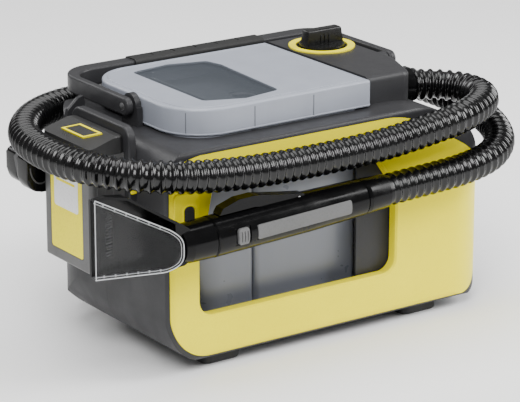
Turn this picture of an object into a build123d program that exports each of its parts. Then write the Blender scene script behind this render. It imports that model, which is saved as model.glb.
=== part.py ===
"""Portable cordless spray-extraction cleaner, in millimetres, +Z up.

The machine stands on four feet at z = 0 with its window side towards -Y and its battery
towards -X. All pieces are drawn about the middle of the housing and written about the
middle of the whole object, wand and battery included.
"""
from build123d import *
from math import cos, pi, radians, sin, tan
import os

os.makedirs("parts", exist_ok=True)

# ---- driving dimensions -----------------------------------------------------------------
body_length = 397
body_depth = 240
body_bottom = 12
deck_top = 221
tub_top = 204
wall = 4.4
fit = 0.3
margin = 5
lap = 0.3

half_length = body_length / 2
half_depth = body_depth / 2

# plan, front and side radii of the housing
radius_front_left = 8
radius_front_right = 60
radius_back = 72
radius_end_low = 44
radius_right_low = 34
radius_right_top = 120
radius_left_top = 20
radius_front_low = 10
radius_back_low = 95
radius_back_top = 24
radius_front_top = 5

# front panel and its window
panel_skin = 2.2
panel_left = -half_length + 2.4
panel_reach = 45
panel_bottom = 16
panel_top = 216.5
panel_right = 190
window_left = -163.5
window_right = 67.5
window_bottom = 57
window_top = 184
window_depth = 11

# tanks and their lid
lid_left = -161.5
lid_right = 55
lid_front = -93
lid_back = 88
lid_bottom = 223
lid_top = 249
tank_front = -90
tank_back = 84
tank_bottom = 24
tank_top = 222
fresh_left = -157
divider_x = -81
dirty_right = 42
tank_wall = 2.4
tank_radius_front = 5
tank_radius_back = 70
tank_gap = 1.5

# motor head and mode knob
head_left = 58
head_right = 130
head_front = -84
head_back = 92
head_top = 249
head_wall = 3
knob_x = 94
knob_y = 43
knob_radius = 24
ring_radius = 34
shaft_radius = 5

# carry handle
pivot_y = -8
pivot_z = 240
handle_left = -178
handle_right = 144
handle_back = 118
arm_height = 18
arm_width = 8
bar_depth = 18
pin_radius = 4

# battery
battery_face = -243.5
battery_inner = -206.6
battery_front = -57
battery_back = 31
battery_bottom = 95
battery_top = 228
battery_split = 211
bay_face = -206.2

# wand along the front
wand_y = -143
wand_z = 151.5
wand_tilt = 2.3
wand_radius_left = 20
wand_radius_right = 18
lock_radius = 21.8
wand_left = -170
wand_right = 5
cuff_right = 36
mouth_x = -302
mouth_low = 135
mouth_high = 207

# rear vent
vent_x = 70
vent_low = 120
vent_pitch = 11
vent_slots = 6
vent_slot_length = 72
vent_slot_height = 5

# hose
hose_diameter = 32
hose_wall = 3
tilt_run = cos(radians(wand_tilt))
tilt_rise = sin(radians(wand_tilt))
cuff_end = (cuff_right * tilt_run, wand_y, wand_z + cuff_right * tilt_rise)
port_face = (150, -30, 215)

# object origin: middle of the extent without the hose
object_left = mouth_x
object_right = half_length
object_front = wand_y - lock_radius
object_back = half_depth + 3
origin_shift = (-(object_left + object_right) / 2, -(object_front + object_back) / 2, 0)


def save(piece, name):
    """Move a finished piece to the object's origin, label it and write its STEP file."""
    placed = piece.moved(Location(origin_shift))
    placed.label = name
    export_step(placed, f"parts/{name}.step")


def outline(x0, x1, y0, y1, radii):
    """Rectangle with a radius at its left-low, right-low, right-high and left-high corner."""
    signs = ((-1, -1), (1, -1), (1, 1), (-1, 1))
    with BuildSketch(mode=Mode.PRIVATE) as shape:
        with Locations(((x0 + x1) / 2, (y0 + y1) / 2)):
            Rectangle(x1 - x0, y1 - y0)
        for (sx, sy), radius in zip(signs, radii):
            if radius > 0:
                corner = shape.vertices().sort_by(lambda v: sx * v.X + sy * v.Y)[-1]
                fillet(corner, radius)
    return shape.sketch


def slab(x0, x1, y0, y1, z0, z1, radii=(0, 0, 0, 0)):
    """Upright block over a plan rectangle with four corner radii."""
    with BuildPart(mode=Mode.PRIVATE) as block:
        with BuildSketch(Plane.XY.offset(z0)):
            add(outline(x0, x1, y0, y1, radii))
        extrude(amount=z1 - z0)
    return block.part


def front_slab(x0, x1, z0, z1, y0, y1, radii=(0, 0, 0, 0)):
    """Block drawn in front view with four corner radii, from y0 back to y1."""
    with BuildPart(mode=Mode.PRIVATE) as block:
        with BuildSketch(Plane.XZ.offset(-y0)):
            add(outline(x0, x1, z0, z1, radii))
        extrude(amount=y0 - y1)
    return block.part


def side_slab(y0, y1, z0, z1, x0, x1, radii=(0, 0, 0, 0)):
    """Block drawn in side view with four corner radii, from x0 to x1."""
    with BuildPart(mode=Mode.PRIVATE) as block:
        with BuildSketch(Plane.YZ.offset(x0)):
            add(outline(y0, y1, z0, z1, radii))
        extrude(amount=x1 - x0)
    return block.part


def envelope(inset):
    """The housing's outer form, moved inwards by an inset on every side."""
    x0, x1 = -half_length + inset, half_length - inset
    y0, y1 = -half_depth + inset, half_depth - inset
    z0, z1 = body_bottom + inset, deck_top - inset
    plan = [radius_front_left, radius_front_right, radius_back, radius_back]
    front = [radius_end_low, radius_right_low, radius_right_top, radius_left_top]
    side = [radius_front_low, radius_back_low, radius_back_top, radius_front_top]
    plan, front, side = ([max(r - inset, 1) for r in radii] for radii in (plan, front, side))
    upright = slab(x0, x1, y0, y1, z0 - margin, z1 + margin, plan)
    across = front_slab(x0, x1, z0, z1, y0 - margin, y1 + margin, front)
    along = side_slab(y0, y1, z0 - lap, z1 + lap, x0 - margin, x1 + margin, side)
    return upright & across & along


def panel_outline(grow):
    """Front view of the yellow panel, enlarged by a margin."""
    low_left, low_right = 46, 34
    x0, x1 = panel_left - grow, panel_right + grow
    z0, z1 = panel_bottom - grow, panel_top + grow
    with BuildSketch(mode=Mode.PRIVATE) as shape:
        with BuildLine():
            top = Line((x0 + 34, z1), (52, z1))
            Spline(top @ 1, (134 + grow, 185 + grow), (x1, 112), tangents=((1, 0), (0, -1)))
            Line((x1, 112), (x1, z0 + low_right))
            RadiusArc((x1, z0 + low_right), (x1 - low_right, z0), low_right)
            Line((x1 - low_right, z0), (x0 + low_left, z0))
            RadiusArc((x0 + low_left, z0), (x0, z0 + low_left), low_left)
            Line((x0, z0 + low_left), (x0, z1 - 26))
            Spline((x0, z1 - 26), (x0 + 34, z1), tangents=((0, 1), (1, 0.1)))
        make_face()
    return shape.sketch


def window_outline(grow):
    """Front view of the window, enlarged by a margin."""
    x0, x1 = window_left - grow, window_right + grow
    z0, z1 = window_bottom - grow, window_top + grow
    with BuildSketch(mode=Mode.PRIVATE) as shape:
        with BuildLine():
            Polyline((x0, z0), (x1, z0), (x1, z1 - 40), (x1 - 28, z1), (x0 + 16, z1),
                     (x0 + 10, z1 - 30), (x0, z1 - 52), (x0, z0))
        make_face()
        fillet(shape.vertices().group_by(Axis.Y)[0], 15)
        fillet(shape.vertices().sort_by(Axis.Y)[-2:], 8)
        fillet(shape.vertices().filter_by(lambda v: z1 - 60 < v.Y < z1 - 20), 14)
    return shape.sketch


# ---- housing ----------------------------------------------------------------------------
outer_form = envelope(0)
inner_form = envelope(wall)
recess_form = envelope(panel_skin + 0.1)

with BuildPart() as window_cut:
    with BuildSketch(Plane.XZ.offset(half_depth + 1)):
        add(window_outline(3.2))
    extrude(amount=-20)

with BuildPart() as panel_prism:
    with BuildSketch(Plane.XZ.offset(half_depth + 1)):
        add(panel_outline(fit))
    extrude(amount=-panel_reach)

# The tub is split into a front and a rear shell at the seam under the battery.
seam_y = -8
big = 600
with BuildPart() as front_housing:
    add(outer_form)
    add(slab(-big, big, -big, seam_y - fit / 2, 0, tub_top), mode=Mode.INTERSECT)
    add(inner_form, mode=Mode.SUBTRACT)
    add(panel_prism.part - recess_form, mode=Mode.SUBTRACT)
    add(window_cut.part, mode=Mode.SUBTRACT)
save(front_housing.part, "front_housing")

with BuildPart() as rear_housing:
    add(outer_form)
    add(slab(-big, big, seam_y + fit / 2, big, 0, tub_top), mode=Mode.INTERSECT)
    add(inner_form, mode=Mode.SUBTRACT)
    for row in range(vent_slots):
        with Locations((vent_x, half_depth, vent_low + vent_pitch * row)):
            Box(vent_slot_length, 4 * wall, vent_slot_height, mode=Mode.SUBTRACT)
save(rear_housing.part, "rear_housing")

with BuildPart() as front_panel:
    with BuildSketch(Plane.XZ.offset(half_depth + 1)):
        add(panel_outline(0))
    extrude(amount=-panel_reach)
    add(outer_form, mode=Mode.INTERSECT)
    add(envelope(panel_skin), mode=Mode.SUBTRACT)
    with BuildSketch(Plane.XZ.offset(half_depth)):
        add(window_outline(2.6))
    extrude(amount=-window_depth)
    with BuildSketch(Plane.XZ.offset(half_depth + 1)):
        add(window_outline(0))
    extrude(amount=-20, mode=Mode.SUBTRACT)
    chamfer(front_panel.faces().sort_by(Axis.Y)[0].inner_wires()[0].edges(), 1.8)
save(front_panel.part, "front_panel")

# ---- top deck: frame round the tank opening and floor of the motor head -----------------
opening = (fresh_left - tank_gap, dirty_right + tank_gap, tank_front - tank_gap, tank_back + tank_gap)
with BuildPart() as top_deck:
    add(outer_form)
    add(inner_form, mode=Mode.SUBTRACT)
    add(panel_prism.part - recess_form, mode=Mode.SUBTRACT)
    add(slab(-big, big, -big, big, tub_top + fit, big), mode=Mode.INTERSECT)
    add(slab(*opening, 0, big, (40, 8, 8, 38)), mode=Mode.SUBTRACT)
    with Locations((knob_x, knob_y, deck_top)):
        Cylinder(shaft_radius + 1, 40, mode=Mode.SUBTRACT)
    add(slab(handle_left + arm_width + fit, handle_left + arm_width + 6.4, pivot_y - 14, pivot_y + 14,
             deck_top - 3, pivot_z))
    with BuildSketch(Plane.YZ.offset(handle_left + arm_width + fit)):
        with Locations((pivot_y, pivot_z)):
            Circle(12)
    extrude(amount=6.1)
    with BuildSketch(Plane.YZ.offset(handle_left)):
        with Locations((pivot_y, pivot_z)):
            Circle(pin_radius)
    extrude(amount=30, mode=Mode.SUBTRACT)
save(top_deck.part, "top_deck")

# ---- motor head, mode knob and its ring -------------------------------------------------
def head_outline(inset):
    """Plan of the motor head with its slanted front right side."""
    x0, x1 = head_left + inset, head_right - inset
    y0, y1 = head_front + inset, head_back - inset
    with BuildSketch(mode=Mode.PRIVATE) as shape:
        with BuildLine():
            Polyline((x0, y0), (x1 - 20, y0), (x1, y0 + 52), (x1, y1), (x0, y1), close=True)
        make_face()
        fillet(shape.vertices().sort_by(lambda v: v.X - v.Y)[-1], 12)
        fillet(shape.vertices().sort_by(lambda v: v.X + v.Y)[-1], 26)
        fillet(shape.vertices().sort_by(lambda v: abs(v.X - x1) + abs(v.Y - y0 - 52))[0], 60)
    return shape.sketch


with BuildPart() as motor_head:
    with BuildSketch(Plane.XY.offset(tub_top)):
        add(head_outline(0))
    extrude(amount=head_top - tub_top)
    rim = motor_head.faces().sort_by(Axis.Z)[-1].edges().filter_by(lambda e: e.center().X > head_left + 1)
    fillet(rim, 6)
    with BuildSketch(Plane.XY.offset(tub_top)):
        add(head_outline(head_wall))
    extrude(amount=head_top - tub_top - head_wall, mode=Mode.SUBTRACT)
    add(outer_form, mode=Mode.SUBTRACT)
    with Locations((knob_x, knob_y, head_top)):
        Cylinder(knob_radius + 1.5, 3, mode=Mode.SUBTRACT)
        Cylinder(shaft_radius + 1, 30, mode=Mode.SUBTRACT)
    with BuildSketch(Plane.YZ.offset(head_right - head_wall)):
        with Locations((port_face[1], port_face[2])):
            Circle(hose_diameter / 2 - 3)
    extrude(amount=20, mode=Mode.SUBTRACT)
    with BuildSketch(Plane.YZ.offset(head_right - head_wall)):
        with Locations((pivot_y, pivot_z)):
            Circle(8)
    extrude(amount=handle_right - arm_width - fit - head_right + head_wall)
    with BuildSketch(Plane.YZ.offset(head_right - head_wall - 1)):
        with Locations((pivot_y, pivot_z)):
            Circle(pin_radius)
    extrude(amount=30, mode=Mode.SUBTRACT)
save(motor_head.part, "motor_head")

with BuildPart() as knob_ring:
    with Locations((knob_x, knob_y, head_top + 0.7)):
        Cylinder(ring_radius, 1.4)
        Cylinder(knob_radius + 2.5, 1.4, mode=Mode.SUBTRACT)
save(knob_ring.part, "knob_ring")

knob_height = 19
grip_half = 6
with BuildPart() as mode_knob:
    with BuildSketch(Plane.XY.offset(head_top - 1.2)):
        with Locations((knob_x, knob_y)):
            Circle(knob_radius)
    extrude(amount=knob_height + 1.2, taper=9)
    with Locations((knob_x, knob_y)):
        for side in (-1, 1):
            with Locations((0, side * (grip_half + 12), head_top + knob_height / 2 + 3.5)):
                Box(70, 24, knob_height, mode=Mode.SUBTRACT)
    fillet(mode_knob.faces().sort_by(Axis.Z)[-1].edges(), 2.5)
    with Locations((knob_x, knob_y, head_top - 24)):
        Cylinder(shaft_radius, 48)
save(mode_knob.part, "mode_knob")

with BuildPart() as switch_body:
    with Locations((knob_x, knob_y, 200)):
        Cylinder(17, 18)
    with Locations((knob_x, knob_y, 212)):
        Cylinder(shaft_radius + 0.1, 30, mode=Mode.SUBTRACT)
save(switch_body.part, "mode_switch")

# ---- carry handle -----------------------------------------------------------------------
handle_front = pivot_y - 10
handle_low = pivot_z - arm_height / 2
with BuildPart() as carry_handle:
    add(slab(handle_left, handle_right, handle_front, handle_back, handle_low, handle_low + arm_height,
             (0, 0, 34, 34)))
    add(slab(handle_left + arm_width, handle_right - arm_width, handle_front - 1, handle_back - bar_depth,
             0, big, (0, 0, 24, 24)), mode=Mode.SUBTRACT)
    ends = carry_handle.edges().filter_by(Axis.X).group_by(Axis.Y)[0]
    fillet(ends, 8.5)
    top_rim = carry_handle.faces().sort_by(Axis.Z)[-1].edges().filter_by(lambda e: e.center().Y > pivot_y)
    fillet(top_rim, 2.5)
    with BuildSketch(Plane.YZ.offset(handle_left - 1)):
        with Locations((pivot_y, pivot_z)):
            Circle(pin_radius + 0.05)
    extrude(amount=big, mode=Mode.SUBTRACT)
save(carry_handle.part, "carry_handle")

grip_left = -95
grip_right = 61
grip_skin = 1.3
grip_notches = 5
with BuildPart() as grip_insert:
    add(slab(grip_left, grip_right, handle_back - bar_depth - grip_skin, handle_back + grip_skin,
             handle_low - grip_skin, handle_low + arm_height + grip_skin))
    fillet(grip_insert.edges().filter_by(Axis.X), 3.5)
    add(carry_handle.part, mode=Mode.SUBTRACT)
    pitch = (grip_right - grip_left) / (grip_notches + 1)
    for k in range(1, grip_notches + 1):
        with Locations((grip_left + k * pitch, handle_back - 4, handle_low + arm_height + grip_skin)):
            Box(1.6, 14, 1.6, mode=Mode.SUBTRACT)
save(grip_insert.part, "grip_insert")

# Pins through both arms into the deck bracket and the motor head.
with BuildPart() as handle_pins:
    for x0, length in ((handle_left, 13.5), (handle_right, -17)):
        with BuildSketch(Plane.YZ.offset(x0)):
            with Locations((pivot_y, pivot_z)):
                Circle(pin_radius)
        extrude(amount=length)
save(handle_pins.part, "handle_pins")

# ---- tanks ------------------------------------------------------------------------------
def tank(x0, x1, radii):
    """Open-topped tank with walls of one thickness, its floor curving up at the back."""
    with BuildPart() as vessel:
        for inset, mode in ((0, Mode.ADD), (tank_wall, Mode.SUBTRACT)):
            plan = [max(r - inset, 1) for r in radii]
            side = (tank_radius_front - inset, tank_radius_back - inset, 0, 0)
            low = tank_bottom + inset
            y0, y1 = tank_front + inset, tank_back - inset
            rise = tank_top + 4 * inset
            upright = slab(x0 + inset, x1 - inset, y0, y1, low - margin, rise, plan)
            along = side_slab(y0 - lap, y1 + lap, low, rise + margin, x0 - margin, x1 + margin, side)
            add(upright & along, mode=mode)
    return vessel.part


save(tank(fresh_left, divider_x - 0.6, (38, 6, 6, 36)), "fresh_tank")
save(tank(divider_x + 0.6, dirty_right, (6, 8, 8, 6)), "dirty_tank")

lid_radii = (47, 3, 3, 45)
lid_skin = 3
window_points = [(-121, -62), (-82, -77), (-39, -70), (-32, 40), (-37, 60), (-77, 71), (-121, 65)]


def lid_window_outline(grow):
    """Plan of the clear window in the lid."""
    with BuildSketch(mode=Mode.PRIVATE) as shape:
        with BuildLine():
            Polyline(*window_points, close=True)
        make_face()
        fillet(shape.vertices(), 7)
        if grow:
            offset(amount=grow, kind=Kind.INTERSECTION)
    return shape.sketch


with BuildPart() as tank_lid:
    add(slab(lid_left, lid_right, lid_front, lid_back, lid_bottom, lid_top, lid_radii))
    fillet(tank_lid.faces().sort_by(Axis.Z)[-1].edges(), 2.6)
    inner = [max(r - lid_skin, 1) for r in lid_radii]
    add(slab(lid_left + lid_skin, lid_right - lid_skin, lid_front + lid_skin, lid_back - lid_skin,
             0, lid_top - lid_skin, inner), mode=Mode.SUBTRACT)
    with BuildSketch(Plane.XY.offset(lid_top + 1)):
        add(lid_window_outline(0.15))
    extrude(amount=-20, mode=Mode.SUBTRACT)
    with BuildSketch(Plane.XY.offset(lid_top - 2)):
        add(lid_window_outline(3))
    extrude(amount=-2.5, mode=Mode.SUBTRACT)
save(tank_lid.part, "tank_lid")

with BuildPart() as lid_window:
    with BuildSketch(Plane.XY.offset(lid_top - 0.4)):
        add(lid_window_outline(0))
    extrude(amount=-1.6)
    with BuildSketch(Plane.XY.offset(lid_top - 2)):
        add(lid_window_outline(2.9))
    extrude(amount=-1)
save(lid_window.part, "lid_window")

float_x = -32
float_y = 2
cap_x = -137
cap_y = 20
cage_radius = 20
floor_z = tank_top + 1
with BuildPart() as lid_floor:
    add(slab(lid_left + 4, lid_right - 4, lid_front + 4, lid_back - 4, floor_z + 2.2, floor_z + 4.2,
             (43, 2, 2, 41)))
    with Locations((float_x, float_y, floor_z)):
        Cylinder(14, 20, mode=Mode.SUBTRACT)
    with Locations((cap_x, cap_y, floor_z)):
        Cylinder(13, 20, mode=Mode.SUBTRACT)
save(lid_floor.part, "lid_floor")

with BuildPart() as lid_seal:
    add(slab(opening[0] + 3, opening[1] - 3, opening[2] + 3, opening[3] - 3, floor_z - 0.7, floor_z + 2,
             (37, 6, 6, 35)))
    add(slab(opening[0] + 7, opening[1] - 7, opening[2] + 7, opening[3] - 7, 0, big,
             (33, 3, 3, 31)), mode=Mode.SUBTRACT)
save(lid_seal.part, "lid_seal")

cage_height = 62
with BuildPart() as float_cage:
    with Locations((float_x, float_y, floor_z + 2 - cage_height / 2)):
        Cylinder(cage_radius, cage_height)
        Cylinder(cage_radius - 2, cage_height - 4, mode=Mode.SUBTRACT)
    with Locations((float_x, float_y, floor_z)):
        Cylinder(13, 20, mode=Mode.SUBTRACT)
    for k in range(6):
        with Locations(Location((float_x, float_y, floor_z - cage_height / 2), (0, 0, 60 * k))):
            with Locations((cage_radius, 0, 0)):
                Box(20, 9, 38, mode=Mode.SUBTRACT)
save(float_cage.part, "float_cage")

with BuildPart() as float_ball:
    with Locations((float_x, float_y, floor_z - cage_height + 17)):
        Cylinder(16, 24)
    fillet(float_ball.edges(), 5)
save(float_ball.part, "float")

with BuildPart() as baffle:
    add(slab(-106, -103.5, -62, 55, floor_z + 4.2, 243.5))
save(baffle.part, "lid_baffle")

with BuildPart() as inlet_duct:
    add(slab(-10, lid_right - 4, 24, 66, floor_z + 4.2, 245.6, (6, 0, 0, 6)))
    fillet(inlet_duct.faces().sort_by(Axis.Z)[-1].edges().filter_by(Axis.X), 5)
    add(slab(-7, big, 27, 63, 225, 243, (4, 0, 0, 4)), mode=Mode.SUBTRACT)
save(inlet_duct.part, "inlet_duct")

with BuildPart() as fresh_cap:
    with Locations((cap_x, cap_y, floor_z + 1.5)):
        Cylinder(12.4, 11)
    with Locations((cap_x, cap_y, floor_z + 10.4)):
        Cylinder(17, 7)
    fillet(fresh_cap.faces().sort_by(Axis.Z)[-1].edges(), 1.5)
save(fresh_cap.part, "fresh_cap")

# ---- battery and its bay ----------------------------------------------------------------
rail_width = 6
rail_depth = 4
battery_mid_y = (battery_front + battery_back) / 2
rail_offset = 28
with BuildPart() as battery_bay:
    add(side_slab(battery_front - 8, battery_back + 9, 86, 236, bay_face, -half_length - 0.1, (10, 10, 14, 14)))
    fillet(battery_bay.faces().sort_by(Axis.X)[0].edges(), 2.4)
    add(outer_form, mode=Mode.SUBTRACT)
    for side in (-1, 1):
        y = battery_mid_y + side * rail_offset
        add(slab(bay_face - rail_depth, bay_face + 1, y - rail_width / 2, y + rail_width / 2, 100, 205))
save(battery_bay.part, "battery_bay")

with BuildPart() as battery_contacts:
    add(slab(bay_face - 3, bay_face, battery_mid_y - 14, battery_mid_y + 14, 112, 132))
    for k in range(4):
        add(slab(bay_face - 5, bay_face - 3, battery_mid_y - 10.5 + 6 * k, battery_mid_y - 7.5 + 6 * k, 114, 130))
save(battery_contacts.part, "battery_contacts")

with BuildPart() as battery_case:
    add(slab(battery_face, battery_inner, battery_front, battery_back, battery_bottom, battery_split))
    fillet(battery_case.faces().sort_by(Axis.X)[0].edges().filter_by(Axis.Z), 5)
    fillet(battery_case.faces().sort_by(Axis.Z)[0].edges(), 3)
    for side in (-1, 1):
        y = battery_mid_y + side * rail_offset
        half = rail_width / 2 + fit
        add(slab(battery_inner - rail_depth - 0.4, big, y - half, y + half, 0, 206), mode=Mode.SUBTRACT)
    add(slab(battery_inner - 6, big, battery_mid_y - 15, battery_mid_y + 15, 0, 134), mode=Mode.SUBTRACT)
    add(slab(battery_face, battery_face + 0.6, -40.4, 17.9, 106.6, battery_split), mode=Mode.SUBTRACT)
save(battery_case.part, "battery_case")

with BuildPart() as battery_label:
    add(side_slab(-40, 17.5, 107, battery_split - 3, battery_face + 0.1, battery_face + 0.6, (3, 3, 3, 3)))
save(battery_label.part, "battery_label")

with BuildPart() as label_patch:
    add(side_slab(-33, 10.5, 150, battery_split - 4, battery_face - 0.3, battery_face + 0.1, (3, 3, 3, 3)))
save(label_patch.part, "label_patch")

release_slope = 16
button_plane = Plane(origin=(-226, battery_mid_y, battery_top - 3.4), x_dir=(0, 1, 0),
                     z_dir=(-sin(radians(release_slope)), 0, cos(radians(release_slope))))


def release_outline(grow):
    """Slanted four-sided outline of the battery release button."""
    with BuildSketch(mode=Mode.PRIVATE) as shape:
        with BuildLine():
            Polyline((-21, -5.5), (13, -5.5), (21, 5.5), (-13, 5.5), close=True)
        make_face()
        offset(amount=grow, kind=Kind.INTERSECTION)
    return shape.sketch


with BuildPart() as battery_head:
    with BuildSketch(Plane.XZ.offset(-battery_front)):
        with BuildLine():
            Polyline((battery_face, battery_split + 0.2), (battery_inner, battery_split + 0.2),
                     (battery_inner, battery_top), (-214, battery_top), (battery_face, battery_top - 9), close=True)
        make_face()
    extrude(amount=battery_front - battery_back)
    fillet(battery_head.edges().filter_by(Axis.Z), 5)
    fillet(battery_head.faces().sort_by(Axis.Z)[-1].edges().filter_by(Axis.X), 2)
    with BuildSketch(button_plane.offset(12)):
        add(release_outline(2.4))
    extrude(amount=-14.5, mode=Mode.SUBTRACT)
save(battery_head.part, "battery_head")

with BuildPart() as release_frame:
    with BuildSketch(button_plane.offset(1.2)):
        add(release_outline(2.2))
        add(release_outline(0.3), mode=Mode.SUBTRACT)
    extrude(amount=-3.5)
save(release_frame.part, "release_frame")

with BuildPart() as release_button:
    with BuildSketch(button_plane.offset(0.9)):
        add(release_outline(0))
    extrude(amount=-1.9)
save(release_button.part, "release_button")

# ---- wand along the front ---------------------------------------------------------------
wand_plane = Plane(origin=(0, wand_y, wand_z), x_dir=(tilt_run, 0, tilt_rise), z_dir=(0, -1, 0))
wand_bore = 12.5
spigot_radius = 15
spigot_length = 24
socket_gap = 0.05


def turned(points):
    """Solid of revolution about the wand's axis from (along, radius) points."""
    with BuildPart(mode=Mode.PRIVATE) as body:
        with BuildSketch(wand_plane):
            with BuildLine():
                Polyline(*points, close=True)
            make_face()
        revolve(axis=Axis(wand_plane.origin, wand_plane.x_dir))
    return body.part


def wand_slab(x0, x1, z0, z1, y0, y1, radii=(0, 0, 0, 0)):
    """Block drawn in the wand's own front view, from depth y0 back to y1 about its axis."""
    with BuildPart(mode=Mode.PRIVATE) as block:
        with BuildSketch(wand_plane.offset(-y0)):
            add(outline(x0, x1, z0, z1, radii))
        extrude(amount=y0 - y1)
    return block.part


trigger_left, trigger_right = -160, -64
with BuildPart() as wand_tube:
    add(turned([(wand_left, wand_bore), (wand_left, 18.6), (wand_left + 1.4, wand_radius_left),
                (-60, wand_radius_left - 0.3), (wand_right - 1.4, wand_radius_right),
                (wand_right, wand_radius_right - 1.2), (wand_right, wand_bore)]))
    add(turned([(wand_left - spigot_length, wand_bore), (wand_left - spigot_length, spigot_radius),
                (wand_left, spigot_radius), (wand_left, wand_bore)]))
    add(wand_slab(trigger_left - 1, trigger_right + 1, 14.4, 40, -6.4, 6.4), mode=Mode.SUBTRACT)
    add(wand_slab(-151.5, -134.5, -8.5, 8.5, -40, -17.4), mode=Mode.SUBTRACT)
    add(wand_slab(-127.4, -17.6, -7.4, 7.4, -40, -17.4), mode=Mode.SUBTRACT)
save(wand_tube.part, "wand_tube")

with BuildPart() as wand_cuff:
    add(turned([(wand_right + 0.2, wand_bore), (wand_right + 0.2, 17.4), (wand_right + 4, 17.8),
                (cuff_right - 4, 16.4), (cuff_right, 15.6), (cuff_right, wand_bore)]))
save(wand_cuff.part, "wand_cuff")

with BuildPart() as grip_inlay:
    add(turned([(-127, 17.5), (-127, 20.6), (-18, 19.2), (-18, 17.5)]))
    add(wand_slab(-127, -18, -7, 7, -40, -17.5, (2, 2, 2, 2)), mode=Mode.INTERSECT)
save(grip_inlay.part, "grip_inlay")

with BuildPart() as nozzle_lock:
    add(turned([(-149, 17.5), (-149, 20.8), (-147.8, lock_radius), (-138.2, lock_radius), (-137, 20.8), (-137, 17.5)]))
    add(wand_slab(-149, -137, -8, 8, -40, -17.6, (3, 3, 3, 3)), mode=Mode.INTERSECT)
    for k in range(3):
        x = -146.2 + 3.2 * k
        add(wand_slab(x - 0.7, x + 0.7, -5, 5, -40, -20.7), mode=Mode.SUBTRACT)
save(nozzle_lock.part, "nozzle_lock")

trigger_pin = (trigger_right - 6, 18)
with BuildPart() as spray_trigger:
    with BuildSketch(wand_plane.offset(6)):
        with BuildLine():
            Polyline((trigger_left, 20), (trigger_left + 4, 26), (trigger_left + 22, 31), (-120, 31),
                     (-84, 24), (trigger_right, 20.4), (trigger_right, 15.6), (-100, 15.6), (-120, 20), close=True)
        make_face()
    extrude(amount=-12)
    with BuildSketch(wand_plane.offset(7)):
        with Locations(trigger_pin):
            Circle(1.55)
    extrude(amount=-14, mode=Mode.SUBTRACT)
save(spray_trigger.part, "spray_trigger")

with BuildPart() as trigger_axle:
    with BuildSketch(wand_plane.offset(6.4)):
        with Locations(trigger_pin):
            Circle(1.5)
    extrude(amount=-12.8)
save(trigger_axle.part, "trigger_axle")

# ---- spray and suction nozzle -----------------------------------------------------------
neck = (-204, wand_left - 0.4)


def body_outline(grow):
    """Front view of the nozzle's body."""
    with BuildSketch(mode=Mode.PRIVATE) as shape:
        with BuildLine():
            Polyline((mouth_x, mouth_low), (-224, 125), (-202, 126), (-188, 136), (-188, 154), (-204, 166),
                     (-222, 177), (-262, 202), (-285, mouth_high), (mouth_x, mouth_high), close=True)
        make_face()
        fillet(shape.vertices().filter_by(lambda v: v.X > mouth_x + 1), 6)
        if grow:
            offset(amount=grow, kind=Kind.INTERSECTION)
    return shape.sketch


def cover_outline(grow):
    """Front view of the nozzle's clear cover, rounded where it meets the neck."""
    with BuildSketch(mode=Mode.PRIVATE) as shape:
        with BuildLine():
            Polyline((mouth_x, mouth_low), (-224, 127.5), (-209, 133), (-209, 153), (-220, 163),
                     (mouth_x, mouth_high), close=True)
        make_face()
        fillet(shape.vertices().filter_by(lambda v: v.X > mouth_x + 1), 7)
        if grow:
            offset(amount=grow, kind=Kind.INTERSECTION)
    return shape.sketch


def nozzle_slab(sketch, y0, y1):
    """Block over a front view between two depths about the wand's axis, cut off at the mouth."""
    with BuildPart(mode=Mode.PRIVATE) as block:
        with BuildSketch(Plane.XZ.offset(-wand_y - y0)):
            add(sketch)
        extrude(amount=y0 - y1)
        add(slab(mouth_x, big, -big, big, 0, big), mode=Mode.INTERSECT)
    return block.part


def plan_prism(points):
    """Tall block over a plan given as (x, depth about the wand's axis)."""
    with BuildPart(mode=Mode.PRIVATE) as block:
        with BuildSketch():
            with BuildLine():
                Polyline(*[(x, wand_y + depth) for x, depth in points], close=True)
            make_face()
        extrude(amount=big)
    return block.part


plate_front, plate_skin = -10, 3
wedge_end, wedge_back, body_back = -222, 20, 13
channel_end = -212
channel_form = plan_prism([(mouth_x - 1, plate_front - 1), (mouth_x - 1, plate_front), (mouth_x, plate_front),
                           (wedge_end, body_back - plate_skin), (channel_end, body_back - plate_skin),
                           (channel_end, plate_front - 1)])
with BuildPart() as nozzle_body:
    add(nozzle_slab(body_outline(0), plate_front, body_back))
    add(plan_prism([(mouth_x - 1, plate_front + plate_skin), (mouth_x, plate_front + plate_skin),
                    (wedge_end, body_back), (wedge_end, wedge_back), (mouth_x - 1, wedge_back)]),
        mode=Mode.SUBTRACT)
    add(turned([(neck[0], 0), (neck[0], 17), (neck[0] + 8, 19), (neck[1] - 1, 19.7), (neck[1], 18.6), (neck[1], 0)]))
    add(nozzle_slab(body_outline(-2.6), plate_front - 1, body_back) & channel_form, mode=Mode.SUBTRACT)
    add(turned([(channel_end, 0), (channel_end, wand_bore), (wand_left - spigot_length - 0.3, wand_bore),
                (wand_left - spigot_length - 0.3, spigot_radius + socket_gap),
                (wand_left + 1, spigot_radius + socket_gap), (wand_left + 1, 0)]), mode=Mode.SUBTRACT)
save(nozzle_body.part, "nozzle_body")

cover_front, cover_back, cover_skin, cover_lip = -17.5, -10.2, 1.6, 1.8
with BuildPart() as nozzle_cover:
    add(nozzle_slab(cover_outline(cover_lip), cover_front, cover_back))
    fillet(nozzle_cover.faces().sort_by(Axis.Y)[0].edges().filter_by(lambda e: e.center().X > mouth_x + 1), 1.4)
    add(nozzle_slab(cover_outline(cover_lip - cover_skin), cover_front + cover_skin, 0), mode=Mode.SUBTRACT)
save(nozzle_cover.part, "nozzle_cover")

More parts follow.
